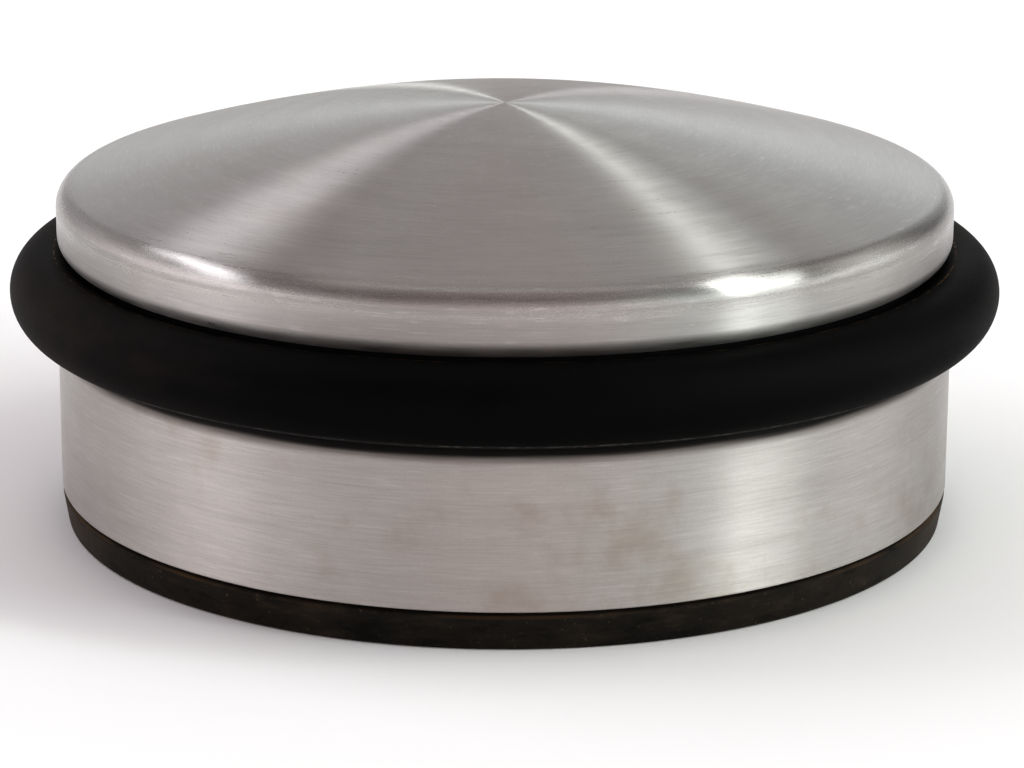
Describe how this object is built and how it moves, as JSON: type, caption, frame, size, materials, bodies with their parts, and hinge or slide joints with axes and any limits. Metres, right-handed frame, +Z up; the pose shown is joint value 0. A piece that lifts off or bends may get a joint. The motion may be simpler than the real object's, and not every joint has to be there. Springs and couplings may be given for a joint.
{
  "type": "floor door stop",
  "caption": "Weighted floor door stop: a low round brushed stainless body with a domed cap, a black rubber bumper ring round its waist and a rubber foot pad.",
  "frame": {"origin": "centre of the rubber pad's underside, on the floor", "axes": "+Z up along the axis of the round body; X and Y are free, because the body is a body of revolution"},
  "size_m": [0.1104, 0.1104, 0.0465],
  "materials": {
    "pad_rubber": "matte",
    "adhesive_sheet": "matte",
    "zinc_steel": "satin",
    "sleeve_stainless": "satin",
    "cast_iron": "matte",
    "black_nylon": "matte",
    "ring_rubber": "matte",
    "cap_stainless": "satin",
    "nut_steel": "satin",
    "screw_steel": "satin"
  },
  "bodies": {
    "root": {"base_pad": "pad_rubber", "pad_tape": "adhesive_sheet", "base_plate": "zinc_steel", "sleeve": "sleeve_stainless", "core_weight": "cast_iron", "neck_collar": "black_nylon", "bumper_ring": "ring_rubber", "cap_shell": "cap_stainless", "cap_plate": "zinc_steel", "weld_nut": "nut_steel", "tie_screw": "screw_steel"}
  },
  "joints": []
}
